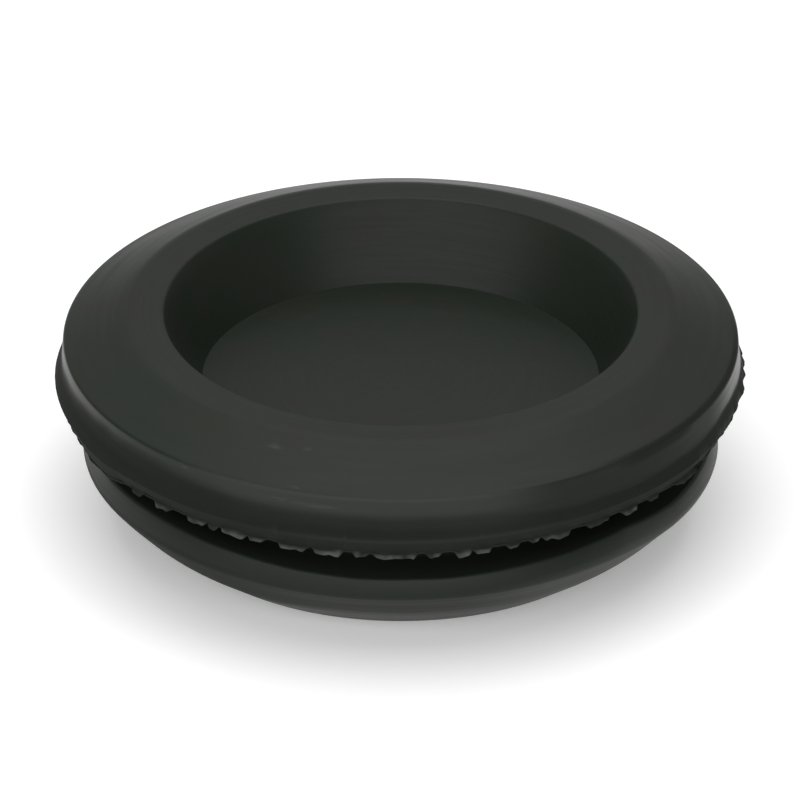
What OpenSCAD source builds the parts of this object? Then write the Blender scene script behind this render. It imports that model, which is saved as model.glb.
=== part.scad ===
// Blanking grommet: a closed rubber plug that snaps into a round hole in a sheet panel.
// One moulding. From the top down it is a domed flange with a dished recess and a parting
// ridge round its side, a groove that grips the panel's edge, and a lip with a crowned
// lead-in that squeezes through the hole.
// A thin web closes it. The underside is hollow, so that the lip can fold inwards.
// The frame's origin is at the middle of the foot ring, with +Z up towards the flange.

/* [Panel fit] */
// Diameter of the panel hole, which the neck at the bottom of the groove fills
hole_d = 25; // [20:0.5:32]
// Width of the groove, which grips the thickness of the panel
groove_w = 1.9; // [1:0.1:3]
// Rubber between the bottom of the groove and the recess inside it
neck_wall = 3.3; // [2:0.1:4.5]

/* [Top flange] */
// How far the flange covers the panel past the edge of the hole
flange_cover = 3.55; // [3:0.05:4.5]
// Height of the flange, from the panel's face to the flat rim
flange_h = 4.2; // [3.6:0.1:5.5]
// Width of the flat rim round the mouth of the recess
rim_w = 1.55; // [0.8:0.05:2]
// Slope of the cone outside the rim, in degrees below level
cone_angle = 25.5; // [15:0.5:30]
// Draft of the flange's side wall, in degrees from upright
side_draft = 4; // [1:0.5:8]
// Height of the parting ridge above the panel's face
ridge_h = 0.75; // [0.5:0.05:0.9]
// How far the parting ridge stands out from the side wall above it
ridge_out = 0.3; // [0.1:0.05:0.4]
// Height of the flare between that wall and the ridge
flare_h = 0.7; // [0.4:0.05:0.9]
// How far the wall steps back in under the parting ridge
ridge_undercut = 0.35; // [0.15:0.05:0.5]

/* [Moulding flash] */
// Thickness of the flash fin left round the edge of the flange's underside
flash_t = 0.25; // [0.15:0.05:0.4]
// Mean reach of the flash past that edge at the front, where most of it is left
flash_reach = 0.3; // [0.2:0.05:0.5]
// Mean reach of the flash at the back, where it tore off short
flash_stub = 0.15; // [0.1:0.05:0.3]
// Depth of the tears in the flash, each way from its mean reach
flash_tear = 0.08; // [0:0.02:0.1]
// Number of torn corners round the flash
flash_corners = 120; // [90:10:180]

/* [Snap-in lip] */
// How far the lip reaches under the panel past the edge of the hole
lip_reach = 2.3; // [1.2:0.05:3.2]
// Height of the lip, from the foot ring to the groove
lip_h = 4.4; // [3.4:0.1:6]
// Height of the upright band at the top of the lip
lip_band_h = 1; // [0.6:0.1:1.6]
// How far the upper edge of that band leans in from the widest part of the lip
lip_band_lean = 0.35; // [0.1:0.05:0.8]
// Crown of the lead-in, measured from the straight cone between its ends
lead_in_crown = 0.25; // [0:0.05:0.4]
// Width of the foot ring that the grommet stands on
foot_w = 1.3; // [0.9:0.1:1.8]

/* [Recess and web] */
// Depth of the recess in the top, from the flat rim to the web
recess_depth = 3.5; // [2:0.1:4.5]
// Draft of the wall of that recess, in degrees from upright
recess_draft = 27.5; // [10:0.5:32]
// Thickness of the web that closes the hole
web_t = 1.5; // [0.8:0.1:2.5]
// Draft of the hollow under the web, in degrees from upright
hollow_draft = 3; // [1:0.5:6]

/* [Edge radii] */
// Radius on the lip of the recess's mouth
mouth_r = 0.2; // [0.05:0.05:0.5]
// Soft radius between the flat rim and the cone
rim_r = 1.2; // [0.2:0.1:2]
// Radius at the shoulder, between the cone and the side wall
shoulder_r = 0.6; // [0.2:0.05:1]
// Radius in the hollow of the flare above the parting ridge
flare_r = 0.8; // [0.2:0.1:1.5]
// Radius round the edge of the web, above and below it
web_r = 0.6; // [0.2:0.05:1]
// Radius in the two inner corners of the groove
groove_r = 0.2; // [0.05:0.05:0.4]
// Radius on the upper edge of the lip
lip_edge_r = 0.25; // [0.1:0.05:0.5]
// Radius at the widest part of the lip
lip_r = 0.5; // [0.2:0.05:1]
// Radius of the crown in the middle of the lead-in
crown_r = 6; // [2:0.5:10]
// Radius on the outer and the inner edge of the foot ring
foot_r = 0.3; // [0.1:0.05:0.4]

/* [Hidden] */
$fn = 180;

// Finest turn of one step along a rounded corner, in degrees
arc_step = 15;
// A rounded corner takes up at most this share of each side that it joins
corner_share = 0.45;
// Seeds of the pseudo-random tears, so that every build tears alike
tear_seed = 11;
spacing_seed = 5;
// Most that a torn corner shifts sideways, as a share of the spacing
tear_shift = 0.35;
// How deep the flash is rooted in the flange
flash_root = 1;

// Heights, from the foot ring up
lip_top = lip_h;
panel_face = lip_top + groove_w;
ridge_z = panel_face + ridge_h;
flare_z = ridge_z + flare_h;
rim_z = panel_face + flange_h;
web_top = rim_z - recess_depth;
web_bottom = web_top - web_t;
band_z = lip_top - lip_band_h;

// Radii, from the neck out and in
neck_radius = hole_d / 2;
flange_radius = neck_radius + flange_cover;
wall_radius = flange_radius - ridge_out;
edge_radius = flange_radius - ridge_undercut;
lip_radius = neck_radius + lip_reach;
web_radius = neck_radius - neck_wall;
mouth_radius = web_radius + recess_depth * tan(recess_draft);
rim_radius = mouth_radius + rim_w;
hollow_radius = web_radius + web_bottom * tan(hollow_draft);
foot_radius = hollow_radius + foot_w;

// The shoulder is where the cone meets the drafted side wall
cone_slope = tan(cone_angle);
side_slope = tan(side_draft);
shoulder_radius = (wall_radius - side_slope * (rim_z - flare_z + cone_slope * rim_radius))
                  / (1 - side_slope * cone_slope);
shoulder_z = rim_z - cone_slope * (shoulder_radius - rim_radius);

// The lead-in is crowned by a point pushed out square to the middle of its chord
lead_in_top = [lip_radius, band_z];
lead_in_foot = [foot_radius, 0];
lead_in_run = lead_in_top - lead_in_foot;
lead_in_mid = (lead_in_top + lead_in_foot) / 2
              + lead_in_crown * [lead_in_run.y, -lead_in_run.x] / norm(lead_in_run);

// The section's corners in order, each with its radius from the axis, its height and its rounding
section = [
    [0, web_top, 0],
    [web_radius, web_top, web_r],
    [mouth_radius, rim_z, mouth_r],
    [rim_radius, rim_z, rim_r],
    [shoulder_radius, shoulder_z, shoulder_r],
    [wall_radius, flare_z, flare_r],
    [flange_radius, ridge_z, 0],
    [edge_radius, panel_face, 0],
    [neck_radius, panel_face, groove_r],
    [neck_radius, lip_top, groove_r],
    [lip_radius - lip_band_lean, lip_top, lip_edge_r],
    [lip_radius, band_z, lip_r],
    [lead_in_mid.x, lead_in_mid.y, crown_r],
    [foot_radius, 0, foot_r],
    [hollow_radius, 0, foot_r],
    [web_radius, web_bottom, web_r],
    [0, web_bottom, 0]
];

function flat(corner) = [corner.x, corner.y];
function unit(v) = v / norm(v);

// The points that round the corner at p, between its neighbours a and b
function rounded(a, p, b, radius) =
    let (
        to_a = unit(a - p),
        to_b = unit(b - p),
        half = acos(to_a * to_b) / 2,
        room = corner_share * min(norm(a - p), norm(b - p)),
        reach = min(radius / tan(half), room),
        r = reach * tan(half),
        centre = p + unit(to_a + to_b) * r / sin(half),
        from = p + to_a * reach - centre,
        side = sign(to_b.x * to_a.y - to_b.y * to_a.x),
        turn = side * (180 - 2 * half),
        steps = max(1, ceil(abs(turn) / arc_step))
    )
    [
        for (i = [0:steps])
            let (t = turn * i / steps)
                centre + [from.x * cos(t) - from.y * sin(t), from.x * sin(t) + from.y * cos(t)]
    ];

function rounded_outline(corners) =
    let (last = len(corners) - 1)
    [
        for (i = [0:last])
            let (p = corners[i])
                each p.z == 0
                    ? [flat(p)]
                    : rounded(flat(corners[i - 1]), flat(p), flat(corners[i + 1]), p.z)
    ];

// Mean radius of the flash, which is longest at the front, towards -Y
function flash_radius(angle) =
    edge_radius + flash_stub + (flash_reach - flash_stub) * (1 - sin(angle)) / 2;

// The torn outer edge of the flash: its corners wander in reach and in spacing
function torn_edge() =
    let (
        tears = rands(-1, 1, flash_corners, tear_seed),
        shifts = rands(-tear_shift, tear_shift, flash_corners, spacing_seed)
    )
    [
        for (i = [0:flash_corners - 1])
            let (
                angle = 360 * (i + shifts[i]) / flash_corners,
                r = flash_radius(angle) + flash_tear * tears[i]
            )
                r * [cos(angle), sin(angle)]
    ];

// Thin fin where rubber crept between the parts of the mould and was torn off short
module flash() {
    translate([0, 0, panel_face])
        linear_extrude(flash_t)
            difference() {
                polygon(torn_edge());
                circle(edge_radius - flash_root);
            }
}

module grommet() {
    color([0.2, 0.21, 0.2]) {
        rotate_extrude()
            polygon(rounded_outline(section));
        flash();
    }
}

grommet();
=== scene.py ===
# %% [markdown]
# # A blanking grommet in black rubber
# This notebook dresses one small moulding: a closed rubber grommet that snaps into a round hole
# in a sheet panel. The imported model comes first, as a fixed frame. It gives the origin, which is
# the middle of the foot ring, the +Z axis through the flange, and the box to stay inside.

# %% The frame
import math

import bmesh
import bpy
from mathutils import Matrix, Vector, noise


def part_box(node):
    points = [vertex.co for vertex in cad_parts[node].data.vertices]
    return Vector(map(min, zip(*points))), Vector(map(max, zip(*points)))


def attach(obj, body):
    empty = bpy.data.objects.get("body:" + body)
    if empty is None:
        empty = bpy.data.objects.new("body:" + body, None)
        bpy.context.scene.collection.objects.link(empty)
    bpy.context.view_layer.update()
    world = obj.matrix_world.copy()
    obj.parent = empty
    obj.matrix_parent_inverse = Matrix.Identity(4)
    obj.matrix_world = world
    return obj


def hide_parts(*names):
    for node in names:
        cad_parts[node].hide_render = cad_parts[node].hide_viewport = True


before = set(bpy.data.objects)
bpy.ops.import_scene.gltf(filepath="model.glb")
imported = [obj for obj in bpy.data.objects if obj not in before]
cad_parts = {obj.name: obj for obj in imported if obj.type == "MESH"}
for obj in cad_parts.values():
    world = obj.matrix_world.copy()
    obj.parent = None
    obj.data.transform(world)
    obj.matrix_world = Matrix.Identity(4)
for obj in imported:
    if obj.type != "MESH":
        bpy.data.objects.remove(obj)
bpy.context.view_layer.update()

low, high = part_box("grommet")
MM = 0.001
foot_z = low.z
total_height = (high.z - low.z) / MM
print(f"frame: {total_height:.2f} mm tall, {(high.x - low.x) / MM:.2f} mm wide")

# %% [markdown]
# ## Camera
# A grommet is as small as a coin, and close-ups of such parts are taken with a long lens, which
# draws them with no perspective to speak of. An orthographic camera is the plain form of that.
# A very long lens would do as well, but it would have to stand metres away. It looks down at the
# front, and its sizes are in millimetres and degrees, but for the two clipping distances, which
# are in metres.

# %% Camera
view_width = 37.1
view_down = 28.55
aim_height = 5.815
aim_side = -0.03
camera_distance = 600
clip_near = 0.01
clip_far = 10


def make_camera():
    data = bpy.data.cameras.new("close_up")
    data.type = "ORTHO"
    data.ortho_scale = view_width * MM
    data.clip_start = clip_near
    data.clip_end = clip_far
    camera = bpy.data.objects.new("close_up", data)
    bpy.context.scene.collection.objects.link(camera)
    tilt = math.radians(view_down)
    back = Vector((0, -math.cos(tilt), math.sin(tilt)))
    aim = Vector((aim_side * MM, 0, foot_z + aim_height * MM))
    camera.location = aim + back * camera_distance * MM
    camera.rotation_euler = (math.pi / 2 - tilt, 0, 0)
    bpy.context.scene.camera = camera


make_camera()
print(f"camera: {view_width} mm wide view, looking {view_down} degrees down")

# %% [markdown]
# ## The section of the moulding
# A mould for such a grommet is turned on a lathe, so one half section says nearly all of it.
# Each corner has its radius from the axis, its height above the foot ring, the rounding that
# the turner left there, and how many steps that rounding takes. It could be drawn as a curve,
# but corners with a rounding each are how the drawing of such a part gives them.

# %% Driving sizes, in millimetres and degrees
neck_radius = 12.5
groove_width = 1.9
neck_wall = 3.3
flange_cover = 3.55
flange_height = 4.2
rim_width = 1.55
cone_angle = 25.5
side_draft = 4
ridge_height = 0.75
ridge_out = 0.3
flare_height = 0.7
ridge_undercut = 0.35
fin_thickness = 0.12
fin_reach = 0.3
lip_reach = 2.3
lip_band = 1.0
lip_lean = 0.35
lead_in_crown = 0.25
foot_width = 1.3
recess_depth = 3.5
recess_draft = 27.5
web_thickness = 1.5
hollow_draft = 3
print(f"panel hole: {2 * neck_radius} mm, groove {groove_width} mm")

# %% Heights and radii
lip_top = total_height - flange_height - groove_width
panel_face = lip_top + groove_width
fin_top = panel_face + fin_thickness
ridge_z = panel_face + ridge_height
flare_z = ridge_z + flare_height
web_top = total_height - recess_depth
web_bottom = web_top - web_thickness
band_z = lip_top - lip_band

flange_radius = neck_radius + flange_cover
wall_radius = flange_radius - ridge_out
edge_radius = flange_radius - ridge_undercut
fin_root = edge_radius + ridge_undercut * fin_thickness / ridge_height
fin_tip = edge_radius + fin_reach
lip_radius = neck_radius + lip_reach
web_radius = neck_radius - neck_wall
mouth_radius = web_radius + recess_depth * math.tan(math.radians(recess_draft))
rim_radius = mouth_radius + rim_width
hollow_radius = web_radius + web_bottom * math.tan(math.radians(hollow_draft))
foot_radius = hollow_radius + foot_width
print(f"flange: {2 * flange_radius:.1f} mm across, lip {2 * lip_radius:.1f} mm")

# %% [markdown]
# ## The shoulder and the lead-in
# Two corners need working out. The shoulder is where the cone meets the drafted side wall. The
# lead-in is crowned by one more corner, pushed out square to the middle of its straight line.
# Both could be typed in as numbers, but then a change of draft would leave them behind.
# A plain corner just inside the shoulder keeps the cone's shading flat up to there.

# %% Shoulder, lead-in and corners
cone_slope = math.tan(math.radians(cone_angle))
side_slope = math.tan(math.radians(side_draft))
wall_drop = total_height - flare_z + cone_slope * rim_radius
shoulder_radius = (wall_radius - side_slope * wall_drop) / (1 - side_slope * cone_slope)
shoulder_z = total_height - cone_slope * (shoulder_radius - rim_radius)
cone_inset = 0.35

lead_in_run = Vector((lip_radius - foot_radius, band_z))
lead_in_out = Vector((lead_in_run.y, -lead_in_run.x)).normalized() * lead_in_crown
lead_in_mid = Vector((foot_radius, 0)) + lead_in_run / 2 + lead_in_out

SECTION = [
    (0, web_top, 0, 0),
    (web_radius, web_top, 0, 0),
    (mouth_radius, total_height, 0.2, 4),
    (rim_radius, total_height, 1.2, 6),
    (shoulder_radius - cone_inset, shoulder_z + cone_inset * cone_slope, 0, 0),
    (shoulder_radius, shoulder_z, 0.15, 4),
    (wall_radius, flare_z, 0.8, 4),
    (flange_radius, ridge_z, 0.05, 3),
    (fin_root, fin_top, 0, 0),
    (fin_tip, fin_top, 0.05, 2),
    (fin_tip, panel_face, 0.05, 2),
    (neck_radius, panel_face, 0.2, 4),
    (neck_radius, lip_top, 0.2, 4),
    (lip_radius - lip_lean, lip_top, 0.25, 4),
    (lip_radius, band_z, 0.5, 6),
    (lead_in_mid.x, lead_in_mid.y, 6, 4),
    (foot_radius, 0, 0.3, 5),
    (hollow_radius, 0, 0.3, 5),
    (web_radius, web_bottom, 0.6, 5),
    (0, web_bottom, 0, 0),
]
print(f"section: {len(SECTION)} corners, shoulder at {shoulder_radius:.2f}, {shoulder_z:.2f} mm")

# %% [markdown]
# ## Turning the section into a solid
# The corners become a wire. A vertex bevel rounds each one: its offset is measured along the
# wire, so a radius r needs r / tan(half the angle between the two sides). Long sides are cut
# into short ones, because smooth shading blends normals along a whole face, and a short face
# keeps that blend next to the rounding. The side wall and the torn zone are cut finest, since
# marks are stored on their points later. One full spin then makes the moulding.

# %% Which points are which
near = 0.01
flare_room = 0.3


def torn_share(vert):
    """How far a point takes part in the tearing: 0 on the wall, 1 at the ridge's crest."""
    radius = vert.co.xy.length
    if not fin_top - near < vert.co.z < flare_z:
        return 0
    inner = wall_radius if vert.co.z > ridge_z else edge_radius
    return max(0, (radius - inner) / (flange_radius - inner))


def in_fin(vert):
    return vert.co.xy.length > fin_root + near and panel_face - near < vert.co.z < fin_top + near


def on_wall(vert):
    """True from the plain corner inside the shoulder down to the hollow of the flare."""
    outside = vert.co.xy.length > shoulder_radius - cone_inset - near
    return outside and vert.co.z > flare_z - flare_room


# %% Wire of the section
side_step = 0.65
wall_step = 0.15
torn_step = 0.13


def wire_vertex(bm, radius, height):
    spot = Vector((radius, 0, height))
    return min(bm.verts, key=lambda vert: (vert.co - spot).length)


def round_corner(bm, radius, height, rounding, steps):
    vert = wire_vertex(bm, radius, height)
    sides = [edge.other_vert(vert).co - vert.co for edge in vert.link_edges]
    half = sides[0].angle(sides[1]) / 2
    bmesh.ops.bevel(bm, geom=[vert], offset=rounding / math.tan(half), offset_type="OFFSET",
                    segments=steps, profile=0.5, affect="VERTICES", clamp_overlap=False,
                    material=-1)


def cut_side(bm, edge):
    step = side_step
    if all(on_wall(vert) for vert in edge.verts):
        step = wall_step
    if all(torn_share(vert) or in_fin(vert) for vert in edge.verts):
        step = torn_step
    cuts = int(edge.calc_length() / step)
    if cuts:
        bmesh.ops.subdivide_edges(bm, edges=[edge], cuts=cuts)


def section_wire():
    bm = bmesh.new()
    corners = [bm.verts.new((radius, 0, height)) for radius, height, _, _ in SECTION]
    for start, end in zip(corners, corners[1:]):
        bm.edges.new((start, end))
    for radius, height, rounding, steps in SECTION:
        if rounding:
            round_corner(bm, radius, height, rounding, steps)
    for edge in list(bm.edges):
        cut_side(bm, edge)
    return bm


wire = section_wire()
print(f"wire: {len(wire.verts)} points")

# %% Spin
turn_steps = 480
same_place = 0.0001


def spin_round(bm):
    bmesh.ops.spin(bm, geom=bm.verts[:] + bm.edges[:], cent=(0, 0, 0), axis=(0, 0, 1),
                   dvec=(0, 0, 0), angle=2 * math.pi, steps=turn_steps, use_merge=True,
                   use_normal_flip=False, use_duplicate=False)
    bmesh.ops.remove_doubles(bm, verts=bm.verts[:], dist=same_place)
    bmesh.ops.recalc_face_normals(bm, faces=bm.faces[:])


spin_round(wire)
print(f"moulding: {len(wire.faces)} faces, {wire.calc_volume(signed=True):.0f} cubic mm")

# %% [markdown]
# ## Torn flash
# Rubber creeps into the joints of the mould and leaves a thin fin, which is torn off by hand.
# It left two marks here. The ridge round the flange's side is torn into small teeth on the +X
# side and is nearly clean elsewhere. Along the flange's lower edge scraps of the fin are left
# in front, each a millimetre or so long, and little more than a stub elsewhere.
# The rings of the torn zone are cut finer first. Then each point moves in or out by noise that
# depends on its direction from the axis. A boolean with a ragged cutter would do it too, but
# moving points keeps clean quads.
# Directions are in degrees from the front, and grow towards +X. A mark that lies between two
# directions has four numbers: where it starts and is full, and where it starts to end and is
# gone. A mark made of noise has two: how long its features are, in millimetres, and the height
# at which it reads the noise, so that no two marks look alike.

# %% Directions and noise


def heading(way):
    """Degrees from the front, which is towards -Y, growing towards +X."""
    return math.degrees(math.atan2(way.x, -way.y))


def wander(way, size, seed):
    """Noise from -1 to 1 in a direction from the axis, with features about size mm long."""
    spot = Vector((way.x, way.y, 0)) * flange_radius / size
    return noise.noise(spot + Vector((0, 0, seed)))


def ramp(value, start, end):
    share = max(0.0, min(1.0, (value - start) / (end - start)))
    return share * share * (3 - 2 * share)


def between(turn, start, full, ending, gone):
    return ramp(turn, start, full) * (1 - ramp(turn, ending, gone))


print(f"+X is at {heading(Vector((1, 0))):.0f} degrees")

# %% Finer rings where the flash tore
torn_cuts = 2


def cut_round_edges(bm, cuts):
    """Cut the edges that run round the axis in the torn zone."""
    round_edges = [edge for edge in bm.edges
                   if all(torn_share(vert) or in_fin(vert) for vert in edge.verts)
                   and abs(edge.verts[0].co.z - edge.verts[1].co.z) < same_place
                   and abs(edge.verts[0].co.xy.length - edge.verts[1].co.xy.length) < same_place]
    bmesh.ops.subdivide_edges(bm, edges=round_edges, cuts=cuts, use_grid_fill=True)


cut_round_edges(wire, torn_cuts)
# the number named torn holds the paleness of torn rubber, and also painted glints on the scraps
# and painted light on the crest, the shoulder and the lip
wear_and_light_layer = wire.verts.layers.float.new("torn")
print(f"cut finer: {len(wire.faces)} faces")

# %% The ridge's teeth, gouge and nicks
TOOTHED_SIDE = (56, 66, 115, 140)
GOUGE = (63, 67, 79, 84)
TEETH = (1.0, 4.0)
RIDGE_FRAY = (0.3, 7.0)
tooth_edge = 0.12
tooth_depth = 0.1
fray_depth = 0.07
clean_fray = 0.015
gouge_depth = 0.04
# direction of a nick, half its length in degrees, and its depth
NICKS = [(-9.4, 0.5, 0.14), (-21.5, 0.7, 0.06), (13.5, 0.8, 0.05)]


def gouge_at(way):
    """Share of the gouge that the torn ridge took out of the flange's lower edge."""
    return between(heading(way), *GOUGE)


def ridge_tear(way):
    """Depth of the tearing of the ridge: toothed on the +X side, slight elsewhere."""
    turn = heading(way)
    side = between(turn, *TOOTHED_SIDE)
    teeth = ramp(wander(way, *TEETH), -tooth_edge, tooth_edge)
    fray = 0.5 + 0.5 * wander(way, *RIDGE_FRAY)
    nick = max(deep * (1 - ramp(abs(turn - middle), 0, wide)) for middle, wide, deep in NICKS)
    toothed = side * (tooth_depth * teeth + fray_depth * fray)
    return toothed + gouge_depth * gouge_at(way) + nick + clean_fray * fray


# %% Tearing the ridge
full_tear = 0.15
ridge_pale_and_light = 0.12
crest_share = 0.75
# the crest is painted paler in front, a painted highlight along the ridge: its middle, and how far
# off it starts to fade and is gone
pale_crest_middle = 4
pale_crest_end = 14
pale_crest_gone = 30


def tear_ridge(bm, layer):
    count = 0
    for vert in bm.verts:
        share = torn_share(vert)
        if not share:
            continue
        way = vert.co.xy.normalized()
        depth = ridge_tear(way)
        below = vert.co.z < ridge_z - near
        hollow = gouge_depth * (1 - share) * gouge_at(way) if below else 0
        vert.co.xy -= way * (depth * share * share + hollow)
        off_middle = abs(heading(way) - pale_crest_middle)
        front = 1 - ramp(off_middle, pale_crest_end, pale_crest_gone)
        crest_highlight = ramp(share, crest_share, 1) * front
        torn = share * share * min(1.0, depth / full_tear)
        vert[layer] = ridge_pale_and_light * torn + ridge_pale_and_light * crest_highlight
        count += 1
    return count


torn_points = tear_ridge(wire, wear_and_light_layer)
print(f"ridge: {torn_points} points torn")

# %% Scraps of the fin
# first and last direction, reach past the flange's edge, and how pale its tip is, as pale torn
# rubber and as a painted glint
SCRAPS = [
    (-51.4, -50.2, 0.16, 0.5), (-45.6, -43.2, 0.20, 0.6), (-38.2, -35.6, 0.18, 0.5),
    (-34.0, -33.2, 0.20, 0.6), (-31.2, -27.6, 0.27, 1.0), (-25.9, -24.2, 0.25, 0.8),
    (-20.3, -16.6, 0.30, 1.0), (-14.3, -10.6, 0.28, 1.0), (-7.4, -6.2, 0.25, 0.7),
    (-3.9, 2.0, 0.27, 0.9), (5.1, 6.2, 0.25, 0.7), (9.9, 11.4, 0.26, 0.9),
    (13.1, 14.8, 0.29, 1.0), (18.8, 19.7, 0.22, 0.8), (22.9, 23.5, 0.20, 0.7),
    (25.4, 29.2, 0.20, 0.6), (33.8, 37.2, 0.16, 0.1), (41.2, 43.4, 0.22, 0.6),
    (47.4, 48.6, 0.14, 0.1), (54.5, 59.5, 0.16, 0.1),
]
scrap_end = 1.1
stub_share = 0.1


def scrap_at(way):
    """Share of a scrap of flash in this direction, that scrap's reach and how pale its tip is, as
    torn rubber and as a painted glint.
    """
    turn = heading(way)
    for start, end, reach, pale in SCRAPS:
        if start - scrap_end < turn < end + scrap_end:
            return between(turn, start - scrap_end, start, end, end + scrap_end), reach, pale
    return 0.0, fin_reach, 0.0


print(f"flash: {len(SCRAPS)} scraps")

# %% Tearing the fin
FIN_FRAY = (0.55, 13.0)
FIN_FINE_FRAY = (0.25, 9.0)
DROOP = (0.5, 17.0)
GLINT = (0.4, 21.0)
PALE_START = (1.6, 33.0)
fin_fray = 0.09
fin_fine_fray = 0.04
scrap_droop = 0.16
droop_wave = 0.14
glint_mean = 0.7
glint_wave = 1.2
glint_least = 0.1
pale_start = 0.35
pale_start_wave = 0.6
pale_fade = 0.35


def tear_fin(bm, layer):
    fin = [vert for vert in bm.verts if in_fin(vert)]
    for vert in fin:
        way = vert.co.xy.normalized()
        out = (vert.co.xy.length - fin_root) / (fin_tip - fin_root)
        rise = max(0, (vert.co.z - panel_face) / fin_thickness)
        wall = edge_radius + rise * (fin_root - edge_radius) - gouge_depth * gouge_at(way)
        scrap, reach, pale = scrap_at(way)
        left = stub_share + (1 - stub_share) * scrap
        fray = fin_fray * wander(way, *FIN_FRAY) + fin_fine_fray * wander(way, *FIN_FINE_FRAY)
        droop = scrap * (scrap_droop + droop_wave * wander(way, *DROOP))
        vert.co.xy = way * (wall + out * max(0.0, left * (edge_radius + reach - wall) + fray))
        vert.co.z -= out * droop
        # the tip's paleness is partly pale torn rubber and partly a painted glint, with brighter
        # cores
        glint = max(glint_least, glint_mean + glint_wave * wander(way, *GLINT))
        start = pale_start + pale_start_wave * wander(way, *PALE_START)
        vert[layer] = pale * scrap * scrap * ramp(out, start, start + pale_fade) * glint
    return len(fin)


fin_points = tear_fin(wire, wear_and_light_layer)
print(f"fin: {fin_points} points torn")

# %% [markdown]
# ## Where the rubber is dull, with painted shade
# The flange's side is satin at the top, where the mould was polished, and dull from the flare
# down, where it was etched and the flash tore. It is also darker there, and that darker colour is
# painted shade for the dark reflection that the lower wall shows. The same number paints shade on
# the lip's -X side and in a wedge and crease on the +X side. The border between the two wanders in
# height round the moulding and fades slowly in front, so it is stored on the points as a number
# from 0 to 1, and the finish reads it. A second material would give it a hard edge. Below the
# crest of the ridge the real border is hard, so there the torn faces do get a finish of their own.

# %% Border of the dull zone
# direction, height of the border, half the height over which it fades
DULL_BORDER = [
    (-180, 7.75, 0.12), (-95, 8.1, 0.30), (-78, 8.3, 0.38), (-65, 8.5, 0.40),
    (-50, 8.55, 0.45), (-30, 8.35, 0.40), (-12, 8.25, 0.32), (4, 8.2, 0.35),
    (16, 7.95, 0.35), (28, 7.75, 0.20), (45, 7.65, 0.12), (62, 7.75, 0.14),
    (74, 7.95, 0.16), (95, 7.65, 0.10), (180, 7.75, 0.12),
]
BORDER_WAVE = (1.4, 29.0)
border_wave = 0.08
SLOW_FADE = (-40, -20, 14, 28)
slow_fade_share = 0.6
slow_fade_drop = 0.75


def along(table, turn):
    """The table's values at a direction, blended between its two nearest rows."""
    for start, end in zip(table, table[1:]):
        if start[0] <= turn <= end[0]:
            share = (turn - start[0]) / (end[0] - start[0])
            return [a + share * (b - a) for a, b in zip(start[1:], end[1:])]


def below_border(way, height):
    """0 above the border and 1 below it, with a longer fade downwards in front."""
    turn = heading(way)
    middle, fade = along(DULL_BORDER, turn)
    middle += border_wave * wander(way, *BORDER_WAVE)
    below = 1 - ramp(height, middle - fade, middle + fade)
    slow = 1 - ramp(height, middle - fade - slow_fade_drop, middle + fade)
    return below + slow_fade_share * between(turn, *SLOW_FADE) * (slow - below)


print(f"border: {len(DULL_BORDER)} rows, in front at {along(DULL_BORDER, 0)[0]:.2f} mm")

# %% Dullness of the lip
# the lip is duller on its -X side, where the dull part also comes further down; its darker colour
# there is painted shade
LIP_ALL = (-170, -110, 10, 30)
LIP_LEFT = (-170, -110, -45, -8)
lip_dull = 0.25
lip_dull_left = 0.5
lip_dull_foot = 1.9
lip_dull_foot_left = 0.6
lip_fade_below = 0.6
lip_fade_above = 0.3
lip_dull_top = 3.4
lip_dull_end = 3.8


def lip_dull_and_shade(turn, height):
    left = between(turn, *LIP_LEFT)
    foot = lip_dull_foot - (lip_dull_foot - lip_dull_foot_left) * left
    depth = lip_dull * between(turn, *LIP_ALL) + lip_dull_left * left
    lower = ramp(height, foot - lip_fade_below, foot + lip_fade_above)
    return depth * lower * (1 - ramp(height, lip_dull_top, lip_dull_end))


print(f"lip: {lip_dull_and_shade(-60, 2.5):.2f} dull on its -X side")

# %% Dullness of the flange
# on the +X side the wall above the border is half dull, with a duller wedge and crease in it;
# their darker colour is painted shade, darkest in the shoulder's crease
DULL_SIDE = (12, 30, 64, 78)
DULL_WEDGE = (32, 46, 55, 66)
DULL_CREASE = (40, 52, 80, 100)
side_dull = 0.55
wedge_start = 8.3
wedge_full = 8.7
crease_start = 8.84
crease_full = 8.94
fade_up_start = 0.06
fade_up_end = 0.14
# round the back and the two sides the satin wall is sleeker than in front, less so on the left
SLEEK_LEFT = (-170, -110, -20, 20)
sleek_start = 50
sleek_full = 64
sleek_depth = 0.25
sleek_depth_left = 0.14
sleek_room = 0.02
foot_room = 0.3


def dull_and_shade_share(vert):
    """How dull the rubber is at a point, and so how much shade its darker colour paints there: 0
    on the satin parts, 1 from the flare down.
    """
    height = vert.co.z
    if vert.co.xy.length < foot_radius - foot_room or height > shoulder_z + fade_up_end:
        return 0
    way = vert.co.xy.normalized()
    turn = heading(way)
    if height < lip_top - near:
        return lip_dull_and_shade(turn, height)
    side = side_dull * between(turn, *DULL_SIDE) * (height < shoulder_z)
    fade_up = 1 - ramp(height, shoulder_z + fade_up_start, shoulder_z + fade_up_end)
    wedge = between(turn, *DULL_WEDGE) * ramp(height, wedge_start, wedge_full) * fade_up
    crease = between(turn, *DULL_CREASE) * ramp(height, crease_start, crease_full) * fade_up
    share = max(below_border(way, height), side, wedge, crease)
    sleek = ramp(abs(turn), sleek_start, sleek_full) * (height < shoulder_z + sleek_room)
    left = between(turn, *SLEEK_LEFT)
    depth = sleek_depth - (sleek_depth - sleek_depth_left) * left
    return share - depth * sleek * (1 - share)


print(f"flange: the shoulder is at {shoulder_z:.2f} mm, the flare at {flare_z:.2f} mm")

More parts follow.
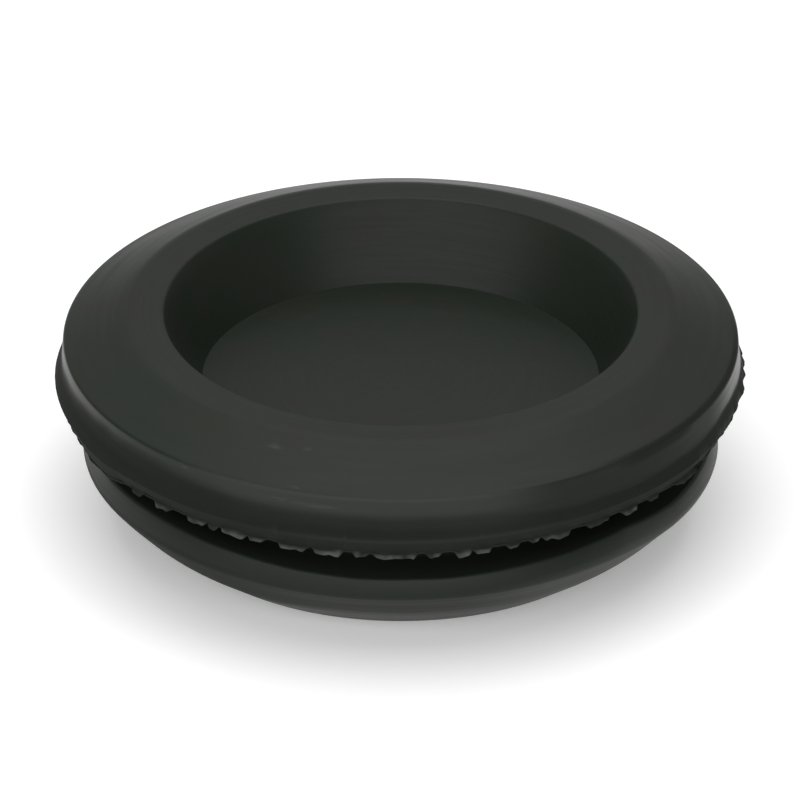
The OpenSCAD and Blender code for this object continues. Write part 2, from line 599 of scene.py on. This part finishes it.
# %% [markdown]
# ## Painted light on the shoulder and lip
# Light is painted on as paler rubber in two places: on the side wall below the shoulder in front,
# with a painted highlight along the shoulder's edge, and on the lip's upper part on the +X side.
# It shares its number on the points with the torn places, which are paler too, so one colour in
# the finish serves both.

# %% Painted light on the shoulder and lip
PAINTED_LIGHT_FRONT = (-48, -24, 14, 30)
PAINTED_LIGHT_LIP = (40, 52, 66, 78)
painted_light_pale = 0.17
painted_light_lip = 0.7
painted_light_lip_room = 0.3
painted_light_lip_start = 2.6
painted_light_lip_full = 3.3
painted_light_start = 7.95
painted_light_full = 8.4
edge_pale = 0.6
edge_start = 0.12
edge_full = 0.06
edge_inner_share = 0.4
edge_inner = 0.02
edge_reach = 0.06


def painted_light_share(vert):
    """Painted light: the side wall below the shoulder in front, with a painted highlight along its
    edge, and the lip's upper part on the +X side.
    """
    turn = heading(vert.co.xy.normalized())
    radius, height = vert.co.xy.length, vert.co.z
    if height < lip_top - painted_light_lip_room:
        side = painted_light_lip * between(turn, *PAINTED_LIGHT_LIP)
        return side * ramp(height, painted_light_lip_start, painted_light_lip_full)
    if radius < shoulder_radius - edge_reach or height < flare_z:
        return 0
    edge = ramp(height, shoulder_z - edge_start, shoulder_z - edge_full)
    if radius < shoulder_radius - edge_inner:
        edge *= edge_inner_share
    wall = ramp(height, painted_light_start, painted_light_full)
    return between(turn, *PAINTED_LIGHT_FRONT) * (wall + edge_pale * edge)


def mark_dull(bm):
    torn = bm.verts.layers.float["torn"]
    dull_and_shade = bm.verts.layers.float.new("dull_and_shade")
    for vert in bm.verts:
        vert[dull_and_shade] = dull_and_shade_share(vert)
        # painted light is stored in the same number as the paleness of torn rubber
        vert[torn] = max(vert[torn], painted_light_pale * painted_light_share(vert))
    return sum(1 for vert in bm.verts if vert[dull_and_shade] > 0.5)


dull_points = mark_dull(wire)
print(f"dull: {dull_points} points more than half dull")

# %% Faces torn below the crest


def mark_torn_faces(bm):
    """Give the second finish to all that lies between the ridge's crest and the lip."""
    count = 0
    for face in bm.faces:
        middle = face.calc_center_median()
        in_groove = lip_top - near < middle.z < ridge_z - near
        if in_groove and middle.xy.length > neck_radius - near:
            face.material_index = 1
            count += 1
    return count


torn_faces = mark_torn_faces(wire)
print(f"torn: {torn_faces} faces")

# %% [markdown]
# ## Soft edges
# Soft rubber comes out of its mould a little out of true. The lower edge of the flange and the
# upper edge of the lip stand a few tenths of a millimetre high or low in places, and the gap
# between them is seen to widen and narrow. A lattice could bend the mesh too, but a table of
# heights for each edge, blended round the moulding, says exactly where. It comes after the
# marks, which are placed by the heights as drawn.

# %% Heights of the soft edges
# direction, and how far the edge stands above its drawn height there
LIP_SET = [
    (-180, 0), (-110, 0), (-75, 0.15), (-60, 0.25), (-48, 0.22), (-38, 0.15), (-30, 0.05),
    (-20, -0.06), (-8, -0.16), (8, -0.14), (20, -0.06), (30, 0.03), (42, 0.15), (46, 0.18),
    (53, 0), (60, -0.13), (75, -0.05), (110, 0), (180, 0),
]
FLANGE_SET = [
    (-180, 0), (-100, 0), (-78, 0.1), (-70, 0.04), (-65, -0.2), (-59, -0.24), (-55, 0.02),
    (-51, 0.1), (-48, 0.12), (-42, 0.06), (-30, 0.03), (-5, -0.08), (10, -0.05), (25, 0.05),
    (42, 0.12), (56, 0.12), (68, 0.3), (80, 0.34), (95, 0.1), (120, 0), (180, 0),
]
LIP_WAVE = (2.2, 25.0)
lip_wave = 0.04
neck_room = 0.2
lip_set_drop = 0.8
lip_set_radius = 14
flange_set_drop = 0.2
flange_set_radius = 15.4


def settle_edges(bm):
    """Let the two edges that face the groove stand a little high or low."""
    most = 0
    for vert in bm.verts:
        radius, height = vert.co.xy.length, vert.co.z
        if radius < neck_radius + neck_room:
            continue
        way = vert.co.xy.normalized()
        turn = heading(way)
        if height < lip_top + near:
            share = ramp(height, band_z - lip_set_drop, lip_top)
            share *= ramp(radius, neck_radius, lip_set_radius)
            rise = along(LIP_SET, turn)[0] + lip_wave * wander(way, *LIP_WAVE)
        else:
            share = 1 - ramp(height, panel_face, flare_z - flange_set_drop)
            share *= ramp(radius, neck_radius, flange_set_radius)
            rise = along(FLANGE_SET, turn)[0]
        vert.co.z += rise * share
        most = max(most, abs(rise * share))
    return most


most_rise = settle_edges(wire)
print(f"soft edges: at most {most_rise:.2f} mm high or low")

# %% [markdown]
# ## The finished mesh
# The moulding was made in millimetres, and now shrinks to metres and moves on to the frame's
# foot height in its mesh, so that its object stays at the origin. All faces are smooth, but
# for one edge: the recess's wall meets the web in a plain corner. A bevel there would catch a
# pale line that the real one doesn't show, so that edge is marked sharp.

# %% Piece


def at_web_corner(vert):
    height = (vert.co.z - foot_z) / MM
    return abs(vert.co.xy.length / MM - web_radius) < near and abs(height - web_top) < near


def finish_piece(bm, name):
    bmesh.ops.scale(bm, vec=(MM, MM, MM), verts=bm.verts[:])
    bmesh.ops.translate(bm, vec=(0, 0, foot_z), verts=bm.verts[:])
    for face in bm.faces:
        face.smooth = True
    for edge in bm.edges:
        if all(at_web_corner(vert) for vert in edge.verts):
            edge.smooth = False
    mesh = bpy.data.meshes.new(name)
    bm.to_mesh(mesh)
    bm.free()
    piece = bpy.data.objects.new(name, mesh)
    bpy.context.scene.collection.objects.link(piece)
    return piece


moulding = finish_piece(wire, "grommet_moulding")
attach(moulding, "root")
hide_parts("grommet")
print(f"piece: {len(moulding.data.polygons)} faces")

# %% [markdown]
# ## Black rubber
# Black rubber hardly scatters light: nearly all that is seen is the soft reflection of the
# room, so its finish lies in roughness and bump more than in colour. Three things break it up:
# the marks of the turned mould, which run round the axis, a fine grain, and a faint bloom that
# is greener here and browner there. The turned marks could be painted on a UV map, but noise
# read in turned coordinates needs none and has no seam: the direction from the axis, stretched
# to the length of a mark, and the distance from the axis, squeezed to its width.

# %% Helpers for nodes


def add_node(tree, kind, **settings):
    made = tree.nodes.new(kind)
    for name, value in settings.items():
        setattr(made, name, value)
    return made


def feed(tree, made, values):
    """Fill a node's inputs by index or name, from sockets or plain values."""
    for key, value in values.items():
        if isinstance(value, bpy.types.NodeSocket):
            tree.links.new(value, made.inputs[key])
        else:
            made.inputs[key].default_value = value


def calc(tree, operation, *values, clamp=False):
    made = add_node(tree, "ShaderNodeMath", operation=operation, use_clamp=clamp)
    feed(tree, made, dict(enumerate(values)))
    return made.outputs[0]


def vector_calc(tree, operation, *values, result=0):
    made = add_node(tree, "ShaderNodeVectorMath", operation=operation)
    feed(tree, made, dict(enumerate(values)))
    return made.outputs[result]


# %% Helpers for patterns


def fit_range(tree, value, start, end, low_end=0.0, high_end=1.0):
    made = add_node(tree, "ShaderNodeMapRange", interpolation_type="SMOOTHSTEP")
    feed(tree, made, {"Value": value, "From Min": start, "From Max": end,
                      "To Min": low_end, "To Max": high_end})
    return made.outputs["Result"]


def grain(tree, place, scale, detail=2.0):
    made = add_node(tree, "ShaderNodeTexNoise")
    feed(tree, made, {"Vector": place, "Scale": scale, "Detail": detail})
    return made.outputs["Fac"]


def tint(tree, share, start, end):
    made = add_node(tree, "ShaderNodeMix", data_type="RGBA")
    feed(tree, made, {0: share, 6: start, 7: end})
    return made.outputs[2]


def stored(tree, name):
    """The number that the points carry under this name."""
    return add_node(tree, "ShaderNodeAttribute", attribute_name=name).outputs["Fac"]


# %% Places on the rubber, in millimetres


def millimetres(tree):
    coordinates = add_node(tree, "ShaderNodeTexCoord")
    mapping = add_node(tree, "ShaderNodeMapping")
    feed(tree, mapping, {"Vector": coordinates.outputs["Object"],
                         "Location": (0, 0, -foot_z / MM),
                         "Scale": (1 / MM, 1 / MM, 1 / MM)})
    return mapping.outputs["Vector"]


def from_axis(tree, place):
    """The direction from the axis, the distance from it, and the height."""
    parts = add_node(tree, "ShaderNodeSeparateXYZ")
    feed(tree, parts, {0: place})
    flat = vector_calc(tree, "MULTIPLY", place, (1, 1, 0))
    radius = vector_calc(tree, "LENGTH", flat, result=1)
    way = vector_calc(tree, "NORMALIZE", flat)
    return way, radius, parts.outputs["Z"]


def turned_place(tree, place, length, width):
    """Coordinates in which a mark of unit size is length mm long round the axis."""
    way, radius, height = from_axis(tree, place)
    across = calc(tree, "DIVIDE", calc(tree, "ADD", radius, height), width)
    lift = add_node(tree, "ShaderNodeCombineXYZ")
    feed(tree, lift, {2: across})
    stretched = add_node(tree, "ShaderNodeVectorMath", operation="SCALE")
    feed(tree, stretched, {0: way, "Scale": flange_radius / length})
    return vector_calc(tree, "ADD", stretched.outputs[0], lift.outputs[0])


# %% [markdown]
# ## Scuffs
# A few pale scuffs lie on the cone, where the grommet rubbed against others in its bag, and
# some fine pale lines run along the side just below the shoulder. They could be painted on an
# image, but each is only a small ellipse: its direction from the front in degrees, its distance
# from the axis, its height, its length, its width and how pale it is. Noise breaks it up.

# %% Scuffs
SCUFFS = [
    (-25.7, 13.4, 9.9, 1.2, 0.3, 0.8),
    (-19.0, 13.35, 10.1, 0.6, 0.2, 0.5),
    (-19.2, 15.45, 9.15, 0.9, 0.25, 0.8),
    (-39.8, 15.6, 8.9, 0.7, 0.3, 0.7),
    (-21.0, 15.7, 8.6, 1.0, 0.2, 0.8),
    (-15.0, 15.7, 8.5, 2.8, 0.16, 0.55),
]
scuff_rim = 0.1
breakup_start = 0.35
breakup_full = 0.6


def scuff(tree, place, turn, radius, height, length, width, paleness):
    angle = math.radians(turn)
    middle = (radius * math.sin(angle), -radius * math.cos(angle), height)
    along_scuff = (math.cos(angle) * 2 / length, math.sin(angle) * 2 / length, 0)
    offset = vector_calc(tree, "SUBTRACT", place, middle)
    share_along = vector_calc(tree, "DOT_PRODUCT", offset, along_scuff, result=1)
    _, from_centre, up = from_axis(tree, place)
    sideways = calc(tree, "ADD", calc(tree, "SUBTRACT", from_centre, radius),
                    calc(tree, "SUBTRACT", height, up))
    share_across = calc(tree, "DIVIDE", sideways, width)
    reach = calc(tree, "ADD", calc(tree, "POWER", calc(tree, "ABSOLUTE", share_along), 2.0),
                 calc(tree, "POWER", calc(tree, "ABSOLUTE", share_across), 2.0))
    return fit_range(tree, reach, 1.0, scuff_rim, 0.0, paleness)


def all_scuffs(tree, place, breakup):
    total = 0.0
    for values in SCUFFS:
        total = calc(tree, "MAXIMUM", total, scuff(tree, place, *values))
    return calc(tree, "MULTIPLY", total, fit_range(tree, breakup, breakup_start, breakup_full))


print(f"scuffs: {len(SCUFFS)}")

# %% [markdown]
# ## The two finishes
# The colours are nearly black, and greener or browner by a hair. Specular level, one number for
# each finish, is set on the shader's own socket. Roughness grows with the stored dullness and
# a little with the turned marks. The bumps are a few thousandths of a millimetre deep, as a
# turned and etched mould leaves them: deeper ones would read as grooves.

# %% Colours and patterns
rubber_green = (0.0092, 0.0134, 0.0088, 1)
rubber_brown = (0.0112, 0.0126, 0.0086, 1)
# the dull black is darker than the rubber, and it paints shade where the rubber is dull
dull_shaded_black = (0.0062, 0.0084, 0.0058, 1)
torn_black = (0.0150, 0.0178, 0.0144, 1)
scuff_grey = (0.030, 0.033, 0.030, 1)
# the pale grey is torn rubber, and also painted glints and painted light where the number named
# torn says so
pale_wear_and_light_grey = (0.080, 0.083, 0.078, 1)

# lengths and depths are in millimetres, and scales in features per millimetre
mark_length = 7.0
mark_width = 0.22
mark_depth = 0.0045
fine_scale = 5.0
fine_depth = 0.004
fine_detail = 3.0
bloom_scale = 0.3
bloom_start = 0.45
bloom_full = 0.7
breakup_length = 0.8
breakup_width = 0.1
mark_low = 0.3
mark_high = 0.7
rough_spread = 0.03
torn_cover = 0.9
torn_roughness = 0.2

# name, specular level, roughness where satin and where dull, colour where dull (in the satin
# finish a darker colour, painted shade)
FINISHES = [
    ("black_rubber", 0.21, 0.43, 0.86, dull_shaded_black),
    ("black_rubber_torn", 0.08, 0.7, 0.85, torn_black),
]
print(f"finishes: {[finish[0] for finish in FINISHES]}")

# %% Rubber


def add_bumps(tree, shader, marks, fine):
    turned_bump = add_node(tree, "ShaderNodeBump")
    feed(tree, turned_bump, {"Height": marks, "Distance": mark_depth * MM, "Strength": 1.0})
    fine_bump = add_node(tree, "ShaderNodeBump")
    feed(tree, fine_bump, {"Height": fine, "Distance": fine_depth * MM, "Strength": 1.0,
                           "Normal": turned_bump.outputs["Normal"]})
    tree.links.new(fine_bump.outputs["Normal"], shader.inputs["Normal"])


def rubber(name, specular, roughness, dull_roughness, dull_colour):
    material = bpy.data.materials.new(name)
    material.use_nodes = True
    tree = material.node_tree
    shader = next(n for n in tree.nodes if n.type == "BSDF_PRINCIPLED")
    shader.inputs["Specular IOR Level"].default_value = specular
    place = millimetres(tree)
    marks = grain(tree, turned_place(tree, place, mark_length, mark_width), 1.0, fine_detail)
    fine = grain(tree, place, fine_scale, fine_detail)
    bloom = grain(tree, place, bloom_scale)
    breakup = grain(tree, turned_place(tree, place, breakup_length, breakup_width), 1.0)
    pale = all_scuffs(tree, place, breakup)
    torn = stored(tree, "torn")
    dull_and_shade = stored(tree, "dull_and_shade")

    browner = fit_range(tree, bloom, bloom_start, bloom_full)
    colour = tint(tree, browner, rubber_green, rubber_brown)
    colour = tint(tree, dull_and_shade, colour, dull_colour)
    colour = tint(tree, pale, colour, scuff_grey)
    # the pale grey paints torn rubber, and also glints and light that are painted on
    wear_and_light_share = calc(tree, "MULTIPLY", torn, torn_cover, clamp=True)
    colour = tint(tree, wear_and_light_share, colour, pale_wear_and_light_grey)
    tree.links.new(colour, shader.inputs["Base Color"])

    rough = fit_range(tree, marks, mark_low, mark_high,
                      roughness - rough_spread, roughness + rough_spread)
    rough = calc(tree, "ADD", rough, calc(tree, "MULTIPLY", dull_and_shade, dull_roughness - roughness))
    rough = calc(tree, "ADD", rough, calc(tree, "MULTIPLY", torn, torn_roughness))
    tree.links.new(rough, shader.inputs["Roughness"])
    add_bumps(tree, shader, marks, fine)
    return material


for finish in FINISHES:
    moulding.data.materials.append(rubber(*finish))
print(f"rubber: {len(moulding.data.materials[0].node_tree.nodes)} nodes")

# %% [markdown]
# ## Floor
# The grommet lies on white paper. The floor could be lit until it is white, but then the lamps
# would be too strong for the rubber. It glows a little instead, only to the camera, in
# reflections and through glass, so that no light of its own falls on the rubber, and the soft
# shadow round the foot stays.

# %% Floor
floor_radius = 2.0
floor_sides = 96
floor_white = (0.93, 0.93, 0.93, 1)
floor_glow = 0.22


def white_paper():
    material = bpy.data.materials.new("white_paper")
    material.use_nodes = True
    tree = material.node_tree
    shader = next(n for n in tree.nodes if n.type == "BSDF_PRINCIPLED")
    shader.inputs["Base Color"].default_value = floor_white
    shader.inputs["Roughness"].default_value = 1
    shader.inputs["Specular IOR Level"].default_value = 0
    seen = add_node(tree, "ShaderNodeLightPath")
    share = calc(tree, "MAXIMUM", seen.outputs["Is Camera Ray"], seen.outputs["Is Glossy Ray"])
    share = calc(tree, "MAXIMUM", share, seen.outputs["Is Transmission Ray"])
    shader.inputs["Emission Color"].default_value = (1, 1, 1, 1)
    tree.links.new(calc(tree, "MULTIPLY", share, floor_glow), shader.inputs["Emission Strength"])
    return material


def make_floor():
    bm = bmesh.new()
    bmesh.ops.create_circle(bm, cap_ends=True, segments=floor_sides, radius=floor_radius)
    bmesh.ops.translate(bm, vec=(0, 0, foot_z), verts=bm.verts[:])
    mesh = bpy.data.meshes.new("floor")
    bm.to_mesh(mesh)
    bm.free()
    floor = bpy.data.objects.new("floor", mesh)
    bpy.context.scene.collection.objects.link(floor)
    mesh.materials.append(white_paper())
    return floor


make_floor()
print(f"floor: {2 * floor_radius} m across")

# %% [markdown]
# ## World and lamps
# Small black parts are lit by large soft sheets of light, because a black surface shows little
# but what it reflects. One hangs straight overhead, for the sheen of the top. Two stand behind,
# one high and one low and weak, and show as pale streaks on the far side of the cone. A wide one
# stands in front, for the side wall, the lip and the recess's back wall. A dim white world
# fills the rest. Small lamps would show as hard spots instead.

# %% World and lamps
lamp_distance = 0.3
world_level = 0.33
# name, degrees round from the front, degrees up, width and height in metres, level
SOFTBOXES = [
    ("overhead", 0, 90, 0.30, 0.30, 1.85),
    ("back_upper", 176, 52, 0.42, 0.15, 0.78),
    ("back_lower", 180, 26, 0.42, 0.12, 0.15),
    ("front_sheet", -12, 28, 0.76, 0.18, 1.85),
]


def make_world(strength):
    world = bpy.data.worlds.new("studio")
    world.use_nodes = True
    background = world.node_tree.nodes["Background"]
    background.inputs["Color"].default_value = (1, 1, 1, 1)
    background.inputs["Strength"].default_value = strength
    bpy.context.scene.world = world


def softbox(name, turn, rise, width, height, level):
    """A flat lamp that faces the grommet; level is how bright its face looks, 1 being white."""
    around, up = math.radians(turn), math.radians(rise)
    flat = math.cos(up)
    way = Vector((math.sin(around) * flat, -math.cos(around) * flat, math.sin(up)))
    data = bpy.data.lights.new(name, "AREA")
    data.shape = "RECTANGLE"
    data.size = width
    data.size_y = height
    data.energy = level * math.pi * width * height
    lamp = bpy.data.objects.new(name, data)
    bpy.context.scene.collection.objects.link(lamp)
    lamp.location = way * lamp_distance
    lamp.rotation_euler = way.to_track_quat("Z", "Y").to_euler()
    lamp.visible_camera = False


make_world(world_level)
for values in SOFTBOXES:
    softbox(*values)
print(f"studio: {len(SOFTBOXES)} soft sheets of light")

# %% [markdown]
# ## Last lines
# The picture keeps plain colours, as they are written.

# %% Finish
bpy.context.scene.view_settings.view_transform = "Standard"
